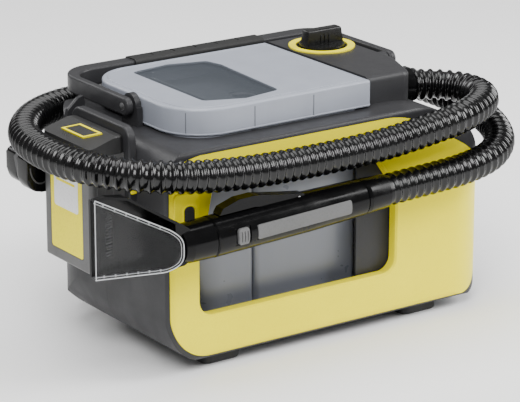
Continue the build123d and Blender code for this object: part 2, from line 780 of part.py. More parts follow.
with BuildPart() as spray_tip:
    with BuildSketch(Plane(origin=(-214, wand_y + 13.1, 147), z_dir=(0, 1, 0))):
        Circle(6)
    extrude(amount=7, taper=18)
    fillet(spray_tip.faces().sort_by(Axis.Y)[-1].edges(), 1)
save(spray_tip.part, "spray_tip")

# ---- hose -------------------------------------------------------------------------------
route = [
    port_face, (170, -34, 214), (189, -48, 213), (199, -70, 212), (195, -97, 211.5), (170, -122, 212),
    (131, -141, 210), (85, -142.5, 204.5), (36, -142, 199), (-18, -141, 197), (-76, -141.5, 197),
    (-136, -142, 199.5), (-191, -139, 204.5), (-230, -123, 208.5), (-257, -94, 211.5), (-270, -56, 212.5),
    (-271, -12, 213), (-262.5, 32, 212.5), (-240, 72, 211.5), (-208, 106, 210.5), (-166, 131, 208.5),
    (-113, 145, 205.5), (-52, 149, 202), (8, 149, 199), (68, 148, 197), (126, 143, 194), (178, 126, 191),
    (213, 92, 187.5), (231, 48, 184), (236, 4, 181), (233, -42, 177), (223, -82, 172), (203, -115, 166.5),
    (173, -136, 161.5), (134, -143.5, 157.5), (98, -143.8, 155.6), (66, wand_y, wand_z + 66 * tan(radians(wand_tilt))),
    cuff_end,
]
straightness = 0.45


def bend_radii(points):
    """Arc radius at each inner point: as large as its two runs allow."""
    spots = [Vector(*p) for p in points]
    radii = []
    for before, here, after in zip(spots, spots[1:], spots[2:]):
        arriving, leaving = here - before, after - here
        half_turn = radians(arriving.get_angle(leaving)) / 2
        radii.append(straightness * min(arriving.length, leaving.length) / tan(half_turn))
    return radii


radii = bend_radii(route)
print("hose radii", [round(r) for r in radii])
with BuildPart() as hose_tube:
    with BuildLine() as hose_path:
        FilletPolyline(*route, radius=radii)
    with BuildSketch(Plane(origin=port_face, z_dir=hose_path.line % 0)):
        Circle(hose_diameter / 2)
        Circle(hose_diameter / 2 - hose_wall, mode=Mode.SUBTRACT)
    sweep()
hose_length = hose_path.wires()[0].length
hose_section = pi * ((hose_diameter / 2) ** 2 - (hose_diameter / 2 - hose_wall) ** 2)
print("hose length", round(hose_length), "fill", round(hose_tube.part.volume / hose_length / hose_section, 3))
save(hose_tube.part, "hose_tube")

with BuildPart() as hose_port:
    port_plane = Plane(origin=port_face, z_dir=hose_path.line % 0)
    with BuildSketch(port_plane):
        Circle(hose_diameter / 2 + 2.5)
        Circle(hose_diameter / 2 - hose_wall, mode=Mode.SUBTRACT)
    extrude(amount=-22)
    add(motor_head.part, mode=Mode.SUBTRACT)
    add(outer_form, mode=Mode.SUBTRACT)
save(hose_port.part, "hose_port")

# ---- inside the motor compartment -------------------------------------------------------
guard_y = -107
with BuildPart() as inner_guard:
    add(slab(28, 76, guard_y, guard_y + 3, 44, 198))
    add(slab(dirty_right + 3, dirty_right + 6, guard_y, tank_back + 4, body_bottom, tub_top))
    add(envelope(wall + fit), mode=Mode.INTERSECT)
save(inner_guard.part, "inner_guard")

motor_x, motor_y = 118, -20
with BuildPart() as suction_motor:
    with Locations((motor_x, motor_y, 82)):
        Cylinder(40, 84)
        Cylinder(5.1, 90, mode=Mode.SUBTRACT)
    fillet(suction_motor.faces().sort_by(Axis.Z)[0].edges().filter_by(lambda e: e.radius > 20), 5)
    for k in range(8):
        with Locations(Location((motor_x, motor_y, 70), (0, 0, 45 * k))):
            with Locations((40, 0, 0)):
                Box(10, 14, 30, mode=Mode.SUBTRACT)
save(suction_motor.part, "suction_motor")

with BuildPart() as fan_housing:
    with Locations((motor_x, motor_y, 142)):
        Cylinder(52, 35.4)
        Cylinder(49, 29.4, mode=Mode.SUBTRACT)
        Cylinder(7, 60, mode=Mode.SUBTRACT)
    with Locations((motor_x, motor_y, 160)):
        Cylinder(18, 20, mode=Mode.SUBTRACT)
    fillet(fan_housing.faces().sort_by(Axis.Z)[-1].edges().filter_by(lambda e: e.radius > 40), 4)
save(fan_housing.part, "fan_housing")

blades = 9
with BuildPart() as suction_fan:
    with Locations((motor_x, motor_y, 131)):
        Cylinder(46, 2.4)
    with Locations((motor_x, motor_y, 152.8)):
        Cylinder(46, 2)
        Cylinder(17, 10, mode=Mode.SUBTRACT)
    with Locations((motor_x, motor_y, 138)):
        Cylinder(9, 14)
    for k in range(blades):
        with Locations(Location((motor_x, motor_y, 142), (0, 0, k * 360 / blades))):
            with Locations(Location((31, 0, 0), (0, 0, 35))):
                Box(26, 1.6, 21)
    with Locations((motor_x, motor_y, 90)):
        Cylinder(5, 84)
save(suction_fan.part, "suction_fan")

with BuildPart() as suction_duct:
    with Locations((motor_x, motor_y, 178)):
        Cylinder(21, 36.2)
        Cylinder(17.5, 40, mode=Mode.SUBTRACT)
save(suction_duct.part, "suction_duct")

pump_x, pump_y, pump_z = 110, 44, 46
with BuildPart() as pump_body:
    add(slab(pump_x - 26, pump_x + 22, pump_y - 17, pump_y + 17, pump_z - 19, pump_z + 19, (4, 4, 4, 4)))
    with BuildSketch(Plane.YZ.offset(pump_x - 20)):
        with Locations((pump_y, pump_z)):
            Circle(14)
    extrude(amount=16, mode=Mode.SUBTRACT)
    with BuildSketch(Plane.YZ.offset(pump_x - 6)):
        with Locations((pump_y, pump_z)):
            Circle(3.1)
    extrude(amount=60, mode=Mode.SUBTRACT)
    for side in (-1, 1):
        with Locations(Location((pump_x - 31, pump_y + 8 * side, pump_z + 12), (0, 90, 0))):
            Cylinder(3, 10)
save(pump_body.part, "pump_body")

with BuildPart() as pump_rotor:
    with Locations(Location((pump_x - 12, pump_y, pump_z), (0, 90, 0))):
        Cylinder(6, 14)
    for k in range(3):
        with Locations(Location((pump_x - 12, pump_y, pump_z), (120 * k, 0, 0))):
            with Locations((0, 9, 0)):
                Box(13, 8, 3)
    with Locations(Location((pump_x + 7, pump_y, pump_z), (0, 90, 0))):
        Cylinder(3, 38)
save(pump_rotor.part, "pump_rotor")

with BuildPart() as pump_motor:
    with Locations(Location((pump_x + 38.2, pump_y, pump_z), (0, 90, 0))):
        Cylinder(15, 31.6)
        Cylinder(3.1, 60, mode=Mode.SUBTRACT)
save(pump_motor.part, "pump_motor")

with BuildPart() as circuit_board:
    add(slab(56, 57.6, -70, 50, 70, 170))
    for row in range(3):
        for column in range(4):
            add(slab(57.6, 62, -58 + 26 * column, -46 + 26 * column, 82 + 30 * row, 96 + 30 * row))
save(circuit_board.part, "circuit_board")

# ---- feet, vent, hooks and screws -------------------------------------------------------
foot_length, foot_width, foot_radius = 44, 26, 9
foot_places = [(-128, -92), (112, -92), (-108, 44), (104, 44)]
for k, (x, y) in enumerate(foot_places, start=1):
    with BuildPart() as foot:
        add(slab(x - foot_length / 2, x + foot_length / 2, y - foot_width / 2, y + foot_width / 2,
                 0, body_bottom + 10, (foot_radius,) * 4))
        fillet(foot.faces().sort_by(Axis.Z)[0].edges(), 3)
        add(outer_form, mode=Mode.SUBTRACT)
    save(foot.part, f"foot_{k}")

with BuildPart() as rear_vent:
    add(front_slab(vent_x - 44, vent_x + 44, vent_low - 11, vent_low + 66, half_depth, half_depth + 3, (8,) * 4))
    fillet(rear_vent.faces().sort_by(Axis.Y)[-1].edges(), 1.2)
    for row in range(vent_slots):
        with Locations((vent_x, half_depth, vent_low + vent_pitch * row)):
            Box(vent_slot_length, 4 * wall, vent_slot_height, mode=Mode.SUBTRACT)
save(rear_vent.part, "rear_vent")

with BuildPart() as hose_hook:
    with BuildSketch(Plane.XZ.offset(-42)):
        with BuildLine():
            Polyline((-192, 152), (-236, 153), (-252, 163), (-256, 186), (-250, 191), (-242, 187), (-192, 184),
                     close=True)
        make_face()
    extrude(amount=-24)
    for y in (49, 59):
        add(slab(-248, -204, y - 0.8, y + 0.8, 176, 198), mode=Mode.SUBTRACT)
    add(outer_form, mode=Mode.SUBTRACT)
save(hose_hook.part, "hose_hook")

with BuildPart() as hose_clip:
    with BuildSketch(Plane.XZ.offset(-52)):
        with BuildLine():
            Polyline((-190, 200), (-205, 214), (-202, 227), (-192, 236), (-185, 238), (-183, 232), (-184, 205),
                     close=True)
        make_face()
    extrude(amount=-5)
    fillet(hose_clip.edges().filter_by(lambda e: e.center().Z > 225 and e.center().X < -190), 1.5)
    add(outer_form, mode=Mode.SUBTRACT)
save(hose_clip.part, "hose_clip")

screw_head = 3.6
with BuildPart() as base_screws:
    for x, y in ((-140, -40), (-40, -80), (60, -80), (150, -40), (148, 20), (40, 22), (-60, 22)):
        with Locations((x, y, body_bottom - 0.9)):
            Cylinder(screw_head, 1.8)
save(base_screws.part, "base_screws")
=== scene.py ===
"""Looks of a portable cordless spray-extraction cleaner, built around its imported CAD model."""

from math import cos, pi, radians, sin

import bmesh
import bpy
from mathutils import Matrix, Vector


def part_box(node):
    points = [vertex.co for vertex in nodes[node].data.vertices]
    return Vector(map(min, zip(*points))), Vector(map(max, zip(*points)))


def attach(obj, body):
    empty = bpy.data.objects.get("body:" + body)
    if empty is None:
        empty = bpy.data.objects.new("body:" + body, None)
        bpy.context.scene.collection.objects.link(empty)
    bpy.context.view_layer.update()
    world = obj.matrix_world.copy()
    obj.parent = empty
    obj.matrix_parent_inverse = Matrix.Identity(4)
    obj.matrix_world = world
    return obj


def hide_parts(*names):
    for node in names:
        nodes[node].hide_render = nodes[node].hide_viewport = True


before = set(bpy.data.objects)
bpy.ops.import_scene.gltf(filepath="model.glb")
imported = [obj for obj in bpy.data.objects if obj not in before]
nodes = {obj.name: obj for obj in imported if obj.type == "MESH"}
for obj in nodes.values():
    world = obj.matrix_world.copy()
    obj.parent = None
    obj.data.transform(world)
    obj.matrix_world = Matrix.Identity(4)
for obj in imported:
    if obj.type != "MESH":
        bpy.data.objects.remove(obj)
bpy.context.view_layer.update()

# ---- places: millimetres from the housing's middle, turned into the row frame's metres ----
MM = 0.001
HOUSING_HALF_DEPTH = 120
shell_low, shell_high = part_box("rear_housing")
middle = Vector(((shell_low.x + shell_high.x) / 2, shell_high.y - HOUSING_HALF_DEPTH * MM, 0))


def at(x, y, z):
    """Row-frame point of a place given in millimetres from the housing's middle."""
    return middle + Vector((x, y, z)) * MM


# ---- camera -----------------------------------------------------------------------------
AZIMUTH, ELEVATION = radians(-34.7), radians(17.85)
CAMERA_DISTANCE = 2.65


def add_camera():
    """Camera at the photograph's view, looking a little left of the housing's middle."""
    back = Vector((sin(AZIMUTH) * cos(ELEVATION), -cos(AZIMUTH) * cos(ELEVATION), sin(ELEVATION)))
    data = bpy.data.cameras.new("camera")
    data.lens = 182.8
    data.sensor_width = 36
    camera = bpy.data.objects.new("camera", data)
    camera.location = at(-12.5, 0, 113) + back * CAMERA_DISTANCE
    camera.rotation_euler = back.to_track_quat("Z", "Y").to_euler()
    bpy.context.scene.collection.objects.link(camera)
    bpy.context.scene.camera = camera


add_camera()


# ---- mesh helpers -----------------------------------------------------------------------
def link_mesh(name, mesh, smooth_angle=35):
    """Object of a finished mesh, shaded smooth below an angle."""
    thing = bpy.data.objects.new(name, mesh)
    bpy.context.scene.collection.objects.link(thing)
    mesh.shade_smooth()
    mesh.set_sharp_from_angle(angle=radians(smooth_angle))
    return thing


def from_bmesh(name, bm, smooth_angle=35):
    """Object of a bmesh, with its normals outwards."""
    bmesh.ops.recalc_face_normals(bm, faces=bm.faces)
    mesh = bpy.data.meshes.new(name)
    bm.to_mesh(mesh)
    bm.free()
    return link_mesh(name, mesh, smooth_angle)


def finish_piece(piece, material, body):
    """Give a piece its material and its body."""
    piece.data.materials.clear()
    piece.data.materials.append(material)
    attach(piece, body)
    return piece


def sweep_mesh(name, path, radii, sides, closed_ends=True, smooth_angle=35):
    """Tube of rings along a path, with one radius for each point."""
    bm = bmesh.new()
    tangents = [
        (path[min(k + 1, len(path) - 1)] - path[max(k - 1, 0)]).normalized() for k in range(len(path))
    ]
    side = tangents[0].orthogonal().normalized()
    rings = []
    for k, (centre, tangent) in enumerate(zip(path, tangents)):
        side = (side - tangent * side.dot(tangent)).normalized()
        other = tangent.cross(side)
        ring = []
        for j in range(sides):
            angle = 2 * pi * j / sides
            offset = side * cos(angle) + other * sin(angle)
            ring.append(bm.verts.new(centre + offset * radii[k]))
        rings.append(ring)
    for near, far in zip(rings, rings[1:]):
        for j in range(sides):
            bm.faces.new((near[j], near[(j + 1) % sides], far[(j + 1) % sides], far[j]))
    if closed_ends:
        bm.faces.new(rings[0][::-1])
        bm.faces.new(rings[-1])
    return from_bmesh(name, bm, smooth_angle)


# ---- hose -------------------------------------------------------------------------------
HOSE_PITCH = 9.3
HOSE_SIDES = 28
# radius at each step of one corrugation: a narrow round crest and a wide flat valley
HOSE_PROFILE_START = 4
HOSE_PROFILE = (16.0, 15.7, 14.5, 13.7, 13.6, 13.6, 13.7, 14.5, 15.7)
HOSE_ROUTE = [
    (150, -30, 215), (170, -34, 214), (189, -48, 213), (199, -70, 212), (195, -97, 211.5), (170, -122, 212),
    (131, -141, 210), (85, -142.5, 204.5), (36, -142, 199), (-18, -141, 197), (-76, -141.5, 197),
    (-136, -142, 199.5), (-191, -139, 204.5), (-230, -123, 208.5), (-257, -94, 211.5), (-270, -56, 212.5),
    (-271, -12, 213), (-262.5, 32, 212.5), (-240, 72, 211.5), (-208, 106, 210.5), (-166, 131, 208.5),
    (-113, 145, 205.5), (-52, 149, 202), (8, 149, 199), (68, 148, 197), (126, 143, 194), (178, 126, 191),
    (213, 92, 187.5), (231, 48, 184), (236, 4, 181), (233, -42, 177), (223, -82, 172), (203, -115, 166.5),
    (173, -136, 161.5), (134, -143.5, 157.5), (98, -143.8, 155.6), (66, -143, 154.15), (35.97, -143, 152.94),
]


def route_line(points, resolution):
    """Points of the smooth NURBS line that has these control points."""
    data = bpy.data.curves.new("route", "CURVE")
    data.dimensions = "3D"
    data.resolution_u = resolution
    spline = data.splines.new("NURBS")
    spline.points.add(len(points) - 1)
    for point, place in zip(spline.points, points):
        point.co = (*place, 1)
    spline.order_u = 3
    spline.use_endpoint_u = True
    curve = bpy.data.objects.new("route", data)
    bpy.context.scene.collection.objects.link(curve)
    mesh = bpy.data.meshes.new_from_object(curve)
    line = [v.co.copy() for v in mesh.vertices]
    bpy.data.objects.remove(curve)
    bpy.data.meshes.remove(mesh)
    return line


def spaced(line, step):
    """Places along a line, all about one step apart, its two ends included."""
    lengths = [0]
    for here, there in zip(line, line[1:]):
        lengths.append(lengths[-1] + (there - here).length)
    count = round(lengths[-1] / step)
    places, k = [], 0
    for n in range(count + 1):
        wanted = lengths[-1] * n / count
        while k < len(line) - 2 and lengths[k + 1] < wanted:
            k += 1
        share = (wanted - lengths[k]) / max(lengths[k + 1] - lengths[k], 1e-9)
        places.append(line[k].lerp(line[k + 1], share))
    return places


def make_hose():
    """Corrugated hose along the route's spline."""
    line = route_line([at(*p) for p in HOSE_ROUTE], 40)
    steps = len(HOSE_PROFILE)
    centres = spaced(line, HOSE_PITCH * MM / steps)
    radii = [HOSE_PROFILE[(k + HOSE_PROFILE_START) % steps] * MM for k in range(len(centres))]
    hose = sweep_mesh("hose", centres, radii, HOSE_SIDES, smooth_angle=85)
    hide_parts("hose_tube")
    finish_piece(hose, hose_material(), "housing")


# ---- materials --------------------------------------------------------------------------
class Shader:
    """A material's node tree, with short calls for the nodes used here."""

    def __init__(self, name):
        self.material = bpy.data.materials.new(name)
        self.material.use_nodes = True
        self.tree = self.material.node_tree
        self.tree.nodes.clear()
        output = self.tree.nodes.new("ShaderNodeOutputMaterial")
        self.bsdf = self.tree.nodes.new("ShaderNodeBsdfPrincipled")
        self.tree.links.new(self.bsdf.outputs["BSDF"], output.inputs["Surface"])
        self.place = self.tree.nodes.new("ShaderNodeTexCoord").outputs["Object"]

    def set(self, **values):
        for key, value in values.items():
            self.bsdf.inputs[key.replace("_", " ").title().replace("Ior", "IOR")].default_value = value
        return self

    def link(self, source, target):
        self.tree.links.new(source, target)

    def stretched(self, scale):
        """The object's coordinates multiplied by a scale on each axis."""
        mapping = self.tree.nodes.new("ShaderNodeMapping")
        mapping.inputs["Scale"].default_value = scale
        self.link(self.place, mapping.inputs["Vector"])
        return mapping.outputs["Vector"]

    def noise(self, scale, detail=3, vector=None):
        node = self.tree.nodes.new("ShaderNodeTexNoise")
        node.inputs["Scale"].default_value = scale
        node.inputs["Detail"].default_value = detail
        self.link(vector or self.place, node.inputs["Vector"])
        return node.outputs["Fac"]

    def cells(self, scale):
        node = self.tree.nodes.new("ShaderNodeTexVoronoi")
        node.inputs["Scale"].default_value = scale
        self.link(self.place, node.inputs["Vector"])
        return node.outputs["Distance"]

    def ramp(self, source, stops):
        """Colour ramp; each stop is (position, colour)."""
        node = self.tree.nodes.new("ShaderNodeValToRGB")
        elements = node.color_ramp.elements
        while len(elements) < len(stops):
            elements.new(0.5)
        for element, (position, color) in zip(elements, stops):
            element.position = position
            element.color = (*color, 1)
        self.link(source, node.inputs["Fac"])
        return node.outputs["Color"]

    def between(self, source, low, high, from_low=0.3, from_high=0.7):
        """A value mapped from one range to another."""
        node = self.tree.nodes.new("ShaderNodeMapRange")
        ends = {"From Min": from_low, "From Max": from_high, "To Min": low, "To Max": high}
        for key, value in ends.items():
            node.inputs[key].default_value = value
        self.link(source, node.inputs["Value"])
        return node.outputs["Result"]

    def mix(self, factor, first, second):
        """Mix of two colours, each a socket or a plain colour."""
        node = self.tree.nodes.new("ShaderNodeMix")
        node.data_type = "RGBA"
        for value, socket in ((factor, node.inputs[0]), (first, node.inputs[6]), (second, node.inputs[7])):
            if isinstance(value, bpy.types.NodeSocket):
                self.link(value, socket)
            else:
                socket.default_value = value if isinstance(value, (int, float)) else (*value, 1)
        return node.outputs[2]

    def bump(self, height, distance):
        """Relief in the surface, a distance in metres high."""
        node = self.tree.nodes.new("ShaderNodeBump")
        node.inputs["Distance"].default_value = distance
        node.inputs["Strength"].default_value = 1.0
        self.link(height, node.inputs["Height"])
        self.link(node.outputs["Normal"], self.bsdf.inputs["Normal"])

    def axis(self, name):
        node = self.tree.nodes.new("ShaderNodeSeparateXYZ")
        self.link(self.place, node.inputs["Vector"])
        return node.outputs[name]


def shade(color, factor):
    return tuple(min(channel * factor, 1) for channel in color)


def moulded(name, color, roughness, grain=1400, relief=0.00008, variation=0.1, spread=0.08, **more):
    """Moulded plastic: mottled colour, uneven gloss, and a fine erosion grain in the surface."""
    s = Shader(name)
    broad = s.noise(14, 4)
    fine = s.noise(grain, 2)
    tone = s.ramp(broad, [(0.3, shade(color, 1 - variation)), (0.7, shade(color, 1 + variation))])
    specks = s.ramp(s.noise(grain * 0.4, 2), [(0.36, shade(color, 0.8)), (0.5, shade(color, 1.04))])
    s.link(s.mix(0.35, tone, specks), s.bsdf.inputs["Base Color"])
    s.link(s.between(s.noise(46, 5), roughness - spread, roughness + spread), s.bsdf.inputs["Roughness"])
    s.bump(fine, relief)
    s.set(**more)
    return s.material


def hose_material():
    """Gloss black extruded plastic, slightly uneven in tone and gloss."""
    s = Shader("hose_black")
    tone = s.ramp(s.noise(30, 4), [(0.35, (0.0012, 0.0012, 0.0013)), (0.7, (0.003, 0.003, 0.0032))])
    s.link(tone, s.bsdf.inputs["Base Color"])
    s.link(s.between(s.noise(60, 2), 0.16, 0.24), s.bsdf.inputs["Roughness"])
    s.bump(s.noise(300, 1), 0.00001)
    s.set(specular_ior_level=0.4)
    return s.material


def frosted(name, color, roughness, transmission, streaks=0.12, height=None):
    """Translucent moulded plastic: soft vertical flow streaks, a fine frost in its gloss, and, where a
    height band is given, painted shade that darkens it towards the bottom.
    """
    s = Shader(name)
    flow = s.noise(1, 4, s.stretched((34, 34, 5)))
    tone = s.ramp(flow, [(0.3, shade(color, 1 - streaks)), (0.7, shade(color, 1 + streaks))])
    # painted shade: below the height band the tone is mixed towards half its colour, darkening the plastic
    # towards the bottom
    if height:
        low, high = height
        level = s.between(s.axis("Z"), 0, 1, low, high)
        tone = s.mix(level, s.mix(0.75, tone, shade(color, 0.5)), tone)
    s.link(tone, s.bsdf.inputs["Base Color"])
    s.link(s.between(s.noise(60, 2), roughness - 0.03, roughness + 0.05), s.bsdf.inputs["Roughness"])
    s.bump(flow, 0.00008)
    s.set(transmission_weight=transmission, ior=1.45, coat_weight=0.15, coat_roughness=0.12)
    return s.material


def clear(name, color, roughness, cover):
    """Clear moulded plastic that hides a share of what is behind it, with faint waviness and fine scuffs."""
    s = Shader(name)
    tone = s.ramp(s.noise(20, 3), [(0.3, shade(color, 0.96)), (0.7, shade(color, 1.02))])
    s.link(tone, s.bsdf.inputs["Base Color"])
    scuffs = s.noise(1, 3, s.stretched((120, 30, 120)))
    s.link(s.between(scuffs, roughness, roughness + 0.03, 0.5, 0.8), s.bsdf.inputs["Roughness"])
    s.bump(s.noise(25, 1), 0.00003)
    s.set(alpha=cover)
    return s.material


def panel_yellow():
    """Lemon-yellow satin panel, with faint flow marks and a fine grain."""
    color = (0.9, 0.78, 0.0)
    s = Shader("panel_yellow")
    flow = s.noise(1, 4, s.stretched((7, 7, 16)))
    flow = s.ramp(flow, [(0.3, shade(color, 0.95)), (0.7, shade(color, 1.04))])
    specks = s.ramp(s.noise(700, 2), [(0.35, shade(color, 0.9)), (0.5, color)])
    s.link(s.mix(0.3, flow, specks), s.bsdf.inputs["Base Color"])
    s.link(s.between(s.noise(60, 4), 0.3, 0.42), s.bsdf.inputs["Roughness"])
    s.bump(s.noise(1100, 2), 0.00004)
    s.set(specular_ior_level=0.3, specular_tint=(1, 0.85, 0.05, 1))
    return s.material


def brushed(name, color):
    """Drawn or turned metal, with fine level streaks."""
    s = Shader(name)
    streak = s.noise(1, 4, s.stretched((30, 30, 900)))
    s.link(s.ramp(streak, [(0.3, shade(color, 0.8)), (0.7, shade(color, 1.1))]), s.bsdf.inputs["Base Color"])
    s.link(s.between(streak, 0.25, 0.45), s.bsdf.inputs["Roughness"])
    s.bump(streak, 0.00004)
    s.set(metallic=1.0)
    return s.material


def board():
    """Circuit board: green lacquer over darker tracks."""
    s = Shader("board_green")
    tracks = s.cells(160)
    color = s.ramp(tracks, [(0.25, (0.02, 0.13, 0.05)), (0.4, (0.05, 0.26, 0.1))])
    s.link(color, s.bsdf.inputs["Base Color"])
    s.bump(tracks, 0.0001)
    s.set(roughness=0.3)
    return s.material


MATERIALS = {
    "dark_housing": lambda: moulded("dark_housing", (0.032, 0.032, 0.034), 0.46, relief=0.00006,
                                    specular_ior_level=0.22),
    "yellow_panel": panel_yellow,
    "dark_deck": lambda: moulded("dark_deck", (0.026, 0.026, 0.028), 0.4, specular_ior_level=0.25),
    "soft_grip": lambda: moulded("soft_grip", (0.014, 0.014, 0.014), 0.6, grain=2200, relief=0.0001,
                                 specular_ior_level=0.3),
    "black_knob": lambda: moulded("black_knob", (0.004, 0.004, 0.004), 0.26, specular_ior_level=0.35),
    "black_gloss": lambda: moulded("black_gloss", (0.002, 0.002, 0.0022), 0.2, relief=0.00002,
                                   specular_ior_level=0.16),
    "grey_inlay": lambda: moulded("grey_inlay", (0.11, 0.11, 0.11), 0.45, specular_ior_level=0.3),
    "clear_cover": lambda: clear("clear_cover", (0.06, 0.061, 0.063), 0.06, 0.1),
    # painted highlight: light grey opaque plastic standing in for the glint on the clear cover's edges
    "rim_bright": lambda: moulded("rim_bright", (0.42, 0.43, 0.44), 0.12, relief=0.00001, variation=0.03),
    "spray_plastic": lambda: moulded("spray_plastic", (0.7, 0.6, 0.02), 0.35),
    "hose_black": hose_material,
    # the tank's colour darkens below 0.04–0.15 m as painted shade
    "tank_clear": lambda: frosted("tank_clear", (0.26, 0.275, 0.32), 0.3, 0.1, streaks=0.03,
                                  height=(0.04, 0.15)),
    "lid_frosted": lambda: frosted("lid_frosted", (0.3, 0.32, 0.37), 0.36, 0.08, streaks=0.04),
    "lid_smoke": lambda: clear("lid_smoke", (0.07, 0.082, 0.1), 0.08, 0.38),
    "lid_inner": lambda: moulded("lid_inner", (0.13, 0.14, 0.155), 0.4),
    "seal_rubber": lambda: moulded("seal_rubber", (0.02, 0.02, 0.02), 0.65),
    "float_orange": lambda: moulded("float_grey", (0.3, 0.31, 0.33), 0.4),
    "battery_grey": lambda: moulded("battery_grey", (0.06, 0.06, 0.06), 0.42),
    "battery_black": lambda: moulded("battery_black", (0.022, 0.022, 0.022), 0.34),
    "battery_yellow": lambda: moulded("battery_yellow", (0.9, 0.78, 0.0), 0.38, variation=0.04,
                                      specular_ior_level=0.25, specular_tint=(1, 0.85, 0.05, 1)),
    "label_white": lambda: moulded("label_white", (0.78, 0.78, 0.78), 0.4, variation=0.03),
    "contact_metal": lambda: brushed("contact_metal", (0.7, 0.52, 0.22)),
    "steel": lambda: brushed("steel", (0.55, 0.55, 0.56)),
    "inner_plastic": lambda: moulded("inner_plastic", (0.1, 0.1, 0.1), 0.5),
    "board_green": board,
    "foot_rubber": lambda: moulded("foot_rubber", (0.016, 0.016, 0.016), 0.7, grain=1800),
}
made = {}


def material(slot):
    """The material for a slot, made once."""
    if slot not in made:
        made[slot] = MATERIALS[slot]()
    return made[slot]


def dress_nodes():
    """Give every CAD node its slot's procedural material."""
    for name, thing in nodes.items():
        old = [m.name.split(".")[0] for m in thing.data.materials]
        thing.data.materials.clear()
        for slot in old:
            thing.data.materials.append(material(slot))


dress_nodes()
make_hose()


# ---- detail pieces ----------------------------------------------------------------------
def outline(x0, x1, y0, y1, radii, steps=7):
    """Flat rounded rectangle; radii go left-low, right-low, right-high, left-high."""
    corners = (
        (x0 + radii[0], y0 + radii[0], radii[0], 180),
        (x1 - radii[1], y0 + radii[1], radii[1], 270),
        (x1 - radii[2], y1 - radii[2], radii[2], 0),
        (x0 + radii[3], y1 - radii[3], radii[3], 90),
    )
    points = []
    for cx, cy, radius, start in corners:
        for k in range(steps + 1 if radius else 1):
            angle = radians(start + 90 * k / steps)
            points.append((cx + radius * cos(angle), cy + radius * sin(angle)))
    return points


def prism(name, corners, depth, edge=0.4, segments=2):
    """Solid between an outline of row-frame points and its copy moved by a depth, with rounded edges."""
    bm = bmesh.new()
    near = [bm.verts.new(corner) for corner in corners]
    far = [bm.verts.new(corner + depth) for corner in corners]
    bm.faces.new(near)
    bm.faces.new(far[::-1])
    rims = []
    for k in range(len(near)):
        side = bm.faces.new((near[k], near[k - 1], far[k - 1], far[k]))
        rims += [e for e in side.edges if (e.verts[0] in near) == (e.verts[1] in near)]
    if edge:
        bmesh.ops.bevel(bm, geom=list(set(rims)), offset=edge * MM, segments=segments, affect="EDGES",
                        profile=0.5)
    return from_bmesh(name, bm)


def bead(name, points, radius, sides=8, closed=False):
    """Thin round bead along points given in the row frame."""
    path = list(points) + ([points[0]] if closed else [])
    return sweep_mesh(name, path, [radius * MM] * len(path), sides, closed_ends=not closed)


def join(name, parts):
    """One object out of several meshes of the same material."""
    bm = bmesh.new()
    for part in parts:
        part.data.transform(part.matrix_world)
        bm.from_mesh(part.data)
        old = part.data
        bpy.data.objects.remove(part)
        bpy.data.meshes.remove(old)
    return from_bmesh(name, bm)


def rectangle(x0, x1, y0, y1):
    """Four corners, in order."""
    return (x0, y0), (x1, y0), (x1, y1), (x0, y1)


LID_LEFT, LID_RIGHT, LID_FRONT, LID_BACK, LID_TOP, LID_BOTTOM = -161.5, 55, -93, 88, 249, 223
SEAM_HALF_WIDTH, SEAM_HEIGHT = 0.35, 20
BATTERY_FACE, BATTERY_SIDE = -243.8, -57
KNOB_X, KNOB_Y, KNOB_GRIP_HALF = 94, 43, 5.8


def lid_details():
    """Raised rim line and foot bead on the lid, and seams in its skirt."""
    inset = 6.5
    rim = outline(LID_LEFT + inset, LID_RIGHT - 4, LID_FRONT + inset, LID_BACK - inset, (40, 3, 3, 38))
    line = bead("lid_rim", [at(x, y, LID_TOP - 0.1) for x, y in rim], 0.75, closed=True)
    finish_piece(line, material("lid_frosted"), "lid")
    foot = outline(LID_LEFT + 0.4, LID_RIGHT - 0.4, LID_FRONT + 0.4, LID_BACK - 0.4, (46, 3, 3, 44))
    flare = bead("lid_foot", [at(x, y, LID_BOTTOM + 1.2) for x, y in foot], 1.0, closed=True)
    finish_piece(flare, material("lid_frosted"), "lid")
    seams = []
    for x, y in ((-82.6, LID_FRONT), (-14, LID_FRONT), (-150.5, -76.8), (LID_LEFT, -6)):
        out = Vector((0, -1, 0)) if y == LID_FRONT else Vector((-1, 0, 0))
        across = Vector((-out.y, out.x, 0))
        start = Vector((x, y, LID_BOTTOM + 2)) + out * 0.05
        shape = rectangle(-SEAM_HALF_WIDTH, SEAM_HALF_WIDTH, 0, SEAM_HEIGHT)
        corners = [at(*(start + across * a + Vector((0, 0, h)))) for a, h in shape]
        seams.append(prism("seam", corners, out * 0.3 * MM, 0))
    finish_piece(join("lid_seams", seams), material("lid_inner"), "lid")


def battery_details():
    """Thin bar on the label patch, side ribs, and a yellow catch on the side."""
    bar = [at(BATTERY_FACE, y, z) for y, z in outline(-27.5, 6, 175.8, 178.2, (0.6,) * 4, 3)]
    finish_piece(prism("label_bar", bar, Vector((-0.25, 0, 0)) * MM, 0.1), material("battery_yellow"),
                 "battery")
    ribs = []
    for k in range(3):
        x = -236 + 9 * k
        rib = [at(x + a, BATTERY_SIDE, z) for a, z in rectangle(-1.3, 1.3, 112, 200)]
        ribs.append(prism("rib", rib, Vector((0, -0.9, 0)) * MM, 0.35))
    finish_piece(join("battery_ribs", ribs), material("battery_grey"), "battery")
    catch = [at(x, -65.2, z) for x, z in outline(-205.6, -199, 172, 197, (1.5,) * 4, 3)]
    finish_piece(prism("bay_catch", catch, Vector((0, -1.6, 0)) * MM, 0.5), material("battery_yellow"),
                 "housing")


